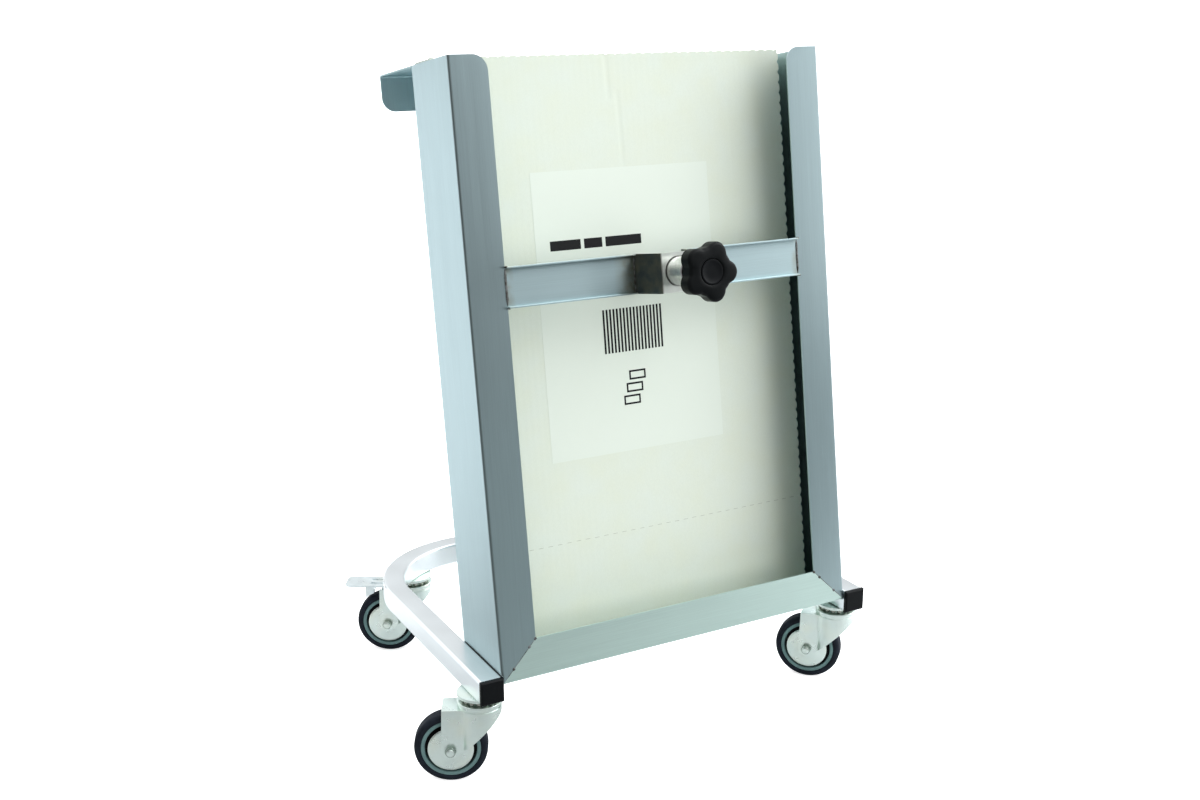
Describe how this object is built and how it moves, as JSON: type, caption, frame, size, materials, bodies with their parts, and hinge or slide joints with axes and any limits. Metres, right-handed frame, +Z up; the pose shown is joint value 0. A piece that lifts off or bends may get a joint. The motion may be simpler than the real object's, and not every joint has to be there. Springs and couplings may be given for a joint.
{
  "type": "paper sheet dispenser trolley",
  "caption": "Leaning sheet-metal rack on a bent tube base with swivel castors; a screw clamp with a star knob holds a carton of baking-paper sheets upright.",
  "frame": {"origin": "on the floor under the middle of the whole object's box, with the castors in the modelled rest position; the rack's middle plane is at x = +20.1 mm", "axes": "+X to the right seen from the front, +Y rearward, +Z up"},
  "size_m": [0.5351, 0.4428, 0.7158],
  "materials": {
    "brushed_sheet": "brushed, grain along the sheet",
    "brushed_tube": "fine brushed",
    "turned_steel": "turned",
    "zinc_plate": "bright zinc plating",
    "pedal_steel": "bright zinc plating",
    "bearing_steel": "polished and greased",
    "black_plastic": "satin",
    "knob_plastic": "fine matt",
    "insert_brass": "turned",
    "pad_rubber": "matt",
    "tyre_rubber": "matt",
    "rim_plastic": "satin",
    "board": "matt, pale",
    "sheet_paper": "matt",
    "label_paper": "matt"
  },
  "bodies": {
    "root": {"base_tube": "brushed_tube", "tube_plug_left": "black_plastic", "tube_plug_right": "black_plastic", "left_upright": "brushed_sheet", "right_upright": "brushed_sheet", "bottom_rail": "brushed_sheet", "back_panel": "brushed_sheet", "clamp_bar": "brushed_sheet", "offset_bracket": "brushed_sheet", "spindle_boss": "turned_steel", "castor_cups": "zinc_plate", "kingpin_bolts": "zinc_plate", "weld_nuts": "zinc_plate", "bearing_balls": "bearing_steel"},
    "castor_front_left": {"fork_front_left": "zinc_plate", "axle_sleeve_front_left": "zinc_plate", "thread_guards_front_left": "zinc_plate", "axle_bolt_front_left": "zinc_plate"},
    "wheel_front_left": {"tyre_front_left": "tyre_rubber", "rim_front_left": "rim_plastic"},
    "castor_front_right": {"fork_front_right": "zinc_plate", "axle_sleeve_front_right": "zinc_plate", "thread_guards_front_right": "zinc_plate", "axle_bolt_front_right": "zinc_plate"},
    "wheel_front_right": {"tyre_front_right": "tyre_rubber", "rim_front_right": "rim_plastic"},
    "castor_rear_left": {"fork_rear_left": "zinc_plate", "axle_sleeve_rear_left": "zinc_plate", "thread_guards_rear_left": "zinc_plate", "axle_bolt_rear_left": "zinc_plate", "pivot_pin_rear_left": "zinc_plate"},
    "wheel_rear_left": {"tyre_rear_left": "tyre_rubber", "rim_rear_left": "rim_plastic"},
    "brake_rear_left": {"brake_pedal_rear_left": "pedal_steel"},
    "castor_rear_right": {"fork_rear_right": "zinc_plate", "axle_sleeve_rear_right": "zinc_plate", "thread_guards_rear_right": "zinc_plate", "axle_bolt_rear_right": "zinc_plate", "pivot_pin_rear_right": "zinc_plate"},
    "wheel_rear_right": {"tyre_rear_right": "tyre_rubber", "rim_rear_right": "rim_plastic"},
    "brake_rear_right": {"brake_pedal_rear_right": "pedal_steel"},
    "clamp_foot": {"pressure_plate": "turned_steel", "pressure_pad": "pad_rubber"},
    "clamp_screw": {"spindle": "turned_steel", "retaining_ring": "zinc_plate", "star_knob": "knob_plastic", "knob_insert": "insert_brass", "knob_cap": "black_plastic"},
    "load": {"carton": "board", "paper_stack": "sheet_paper", "carton_label": "label_paper"}
  },
  "joints": [
    {"name": "swivel_front_left", "type": "hinge", "parent": "root", "child": "castor_front_left", "pos_m": [-0.20444, -0.14828, 0.1], "axis": [0, 0, 1], "continuous": true},
    {"name": "spin_front_left", "type": "hinge", "parent": "castor_front_left", "child": "wheel_front_left", "pos_m": [-0.23129, -0.13489, 0.0375], "axis": [-0.4462, -0.8949, 0], "continuous": true},
    {"name": "swivel_front_right", "type": "hinge", "parent": "root", "child": "castor_front_right", "pos_m": [0.24456, -0.14828, 0.1], "axis": [0, 0, 1], "continuous": true},
    {"name": "spin_front_right", "type": "hinge", "parent": "castor_front_right", "child": "wheel_front_right", "pos_m": [0.22448, -0.12598, 0.0375], "axis": [-0.7431, -0.6691, 0], "continuous": true},
    {"name": "swivel_rear_left", "type": "hinge", "parent": "root", "child": "castor_rear_left", "pos_m": [-0.15494, 0.16172, 0.1], "axis": [0, 0, 1], "continuous": true},
    {"name": "spin_rear_left", "type": "hinge", "parent": "castor_rear_left", "child": "wheel_rear_left", "pos_m": [-0.18066, 0.17717, 0.0375], "axis": [-0.515, -0.8572, 0], "continuous": true},
    {"name": "brake_rear_left", "type": "hinge", "parent": "castor_rear_left", "child": "brake_rear_left", "pos_m": [-0.18066, 0.17717, 0.0775], "axis": [-0.515, -0.8572, 0], "range_deg": [0, 6]},
    {"name": "swivel_rear_right", "type": "hinge", "parent": "root", "child": "castor_rear_right", "pos_m": [0.19506, 0.16172, 0.1], "axis": [0, 0, 1], "continuous": true},
    {"name": "spin_rear_right", "type": "hinge", "parent": "castor_rear_right", "child": "wheel_rear_right", "pos_m": [0.17208, 0.181, 0.0375], "axis": [-0.6428, -0.766, 0], "continuous": true},
    {"name": "brake_rear_right", "type": "hinge", "parent": "castor_rear_right", "child": "brake_rear_right", "pos_m": [0.17208, 0.181, 0.0775], "axis": [-0.6428, -0.766, 0], "range_deg": [0, 6]},
    {"name": "clamp_travel", "type": "slide", "parent": "root", "child": "clamp_foot", "axis": [0, -0.989, 0.1478], "range_m": [0, 0.036]},
    {"name": "clamp_turn", "type": "hinge", "parent": "clamp_foot", "child": "clamp_screw", "pos_m": [0.02006, -0.15608, 0.50467], "axis": [0, -0.989, 0.1478], "range_deg": [0, 4320]},
    {"name": "carton_lift", "type": "slide", "parent": "root", "child": "load", "axis": [0, 0.1478, 0.989], "range_m": [0, 0.62]}
  ],
  "couplings": [
    {"joint": "clamp_turn", "follows": "clamp_travel", "rad_per_m": 2094.4}
  ]
}
